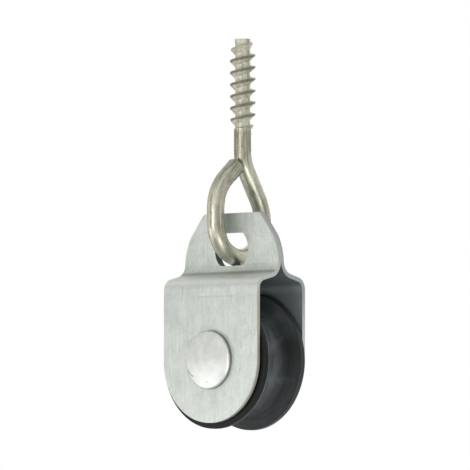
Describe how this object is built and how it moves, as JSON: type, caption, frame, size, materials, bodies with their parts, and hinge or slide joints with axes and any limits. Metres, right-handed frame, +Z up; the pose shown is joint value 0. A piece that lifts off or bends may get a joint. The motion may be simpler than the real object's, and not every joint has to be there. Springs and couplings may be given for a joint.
{
  "type": "eye screw pulley",
  "caption": "Small single pulley: a black grooved wheel between two joggled zinc-plated cheeks on a riveted axle, hung from the pear-shaped eye of a coarse wood screw.",
  "frame": {"origin": "on the screw's axis at the lower end of its thread, where the wood's surface comes", "axes": "+Z up along the screw, -Y towards the cheek with the rivet's big head, X along the wheel's plane"},
  "size_m": [0.032, 0.022, 0.0916],
  "materials": {
    "zinc_sheet": "matt zinc plate with fine rolling lines",
    "rivet_steel": "satin, smoothed by the forming tool",
    "eye_wire": "drawn wire with a warm, slightly glossy plate",
    "black_nylon": "semi-gloss moulded nylon"
  },
  "bodies": {
    "eye": {"screw_eye": "eye_wire"},
    "block": {"front_cheek": "zinc_sheet", "rear_cheek": "zinc_sheet", "axle_rivet": "rivet_steel"},
    "wheel": {"sheave": "black_nylon"}
  },
  "joints": [
    {"name": "block_swing", "type": "hinge", "parent": "eye", "child": "block", "pos_m": [0, -0.00295, -0.03015], "axis": [0, 1, 0], "range_deg": [-95, 95]},
    {"name": "sheave_spin", "type": "hinge", "parent": "block", "child": "wheel", "pos_m": [0, -0.00295, -0.05456], "axis": [0, 1, 0], "continuous": true}
  ]
}
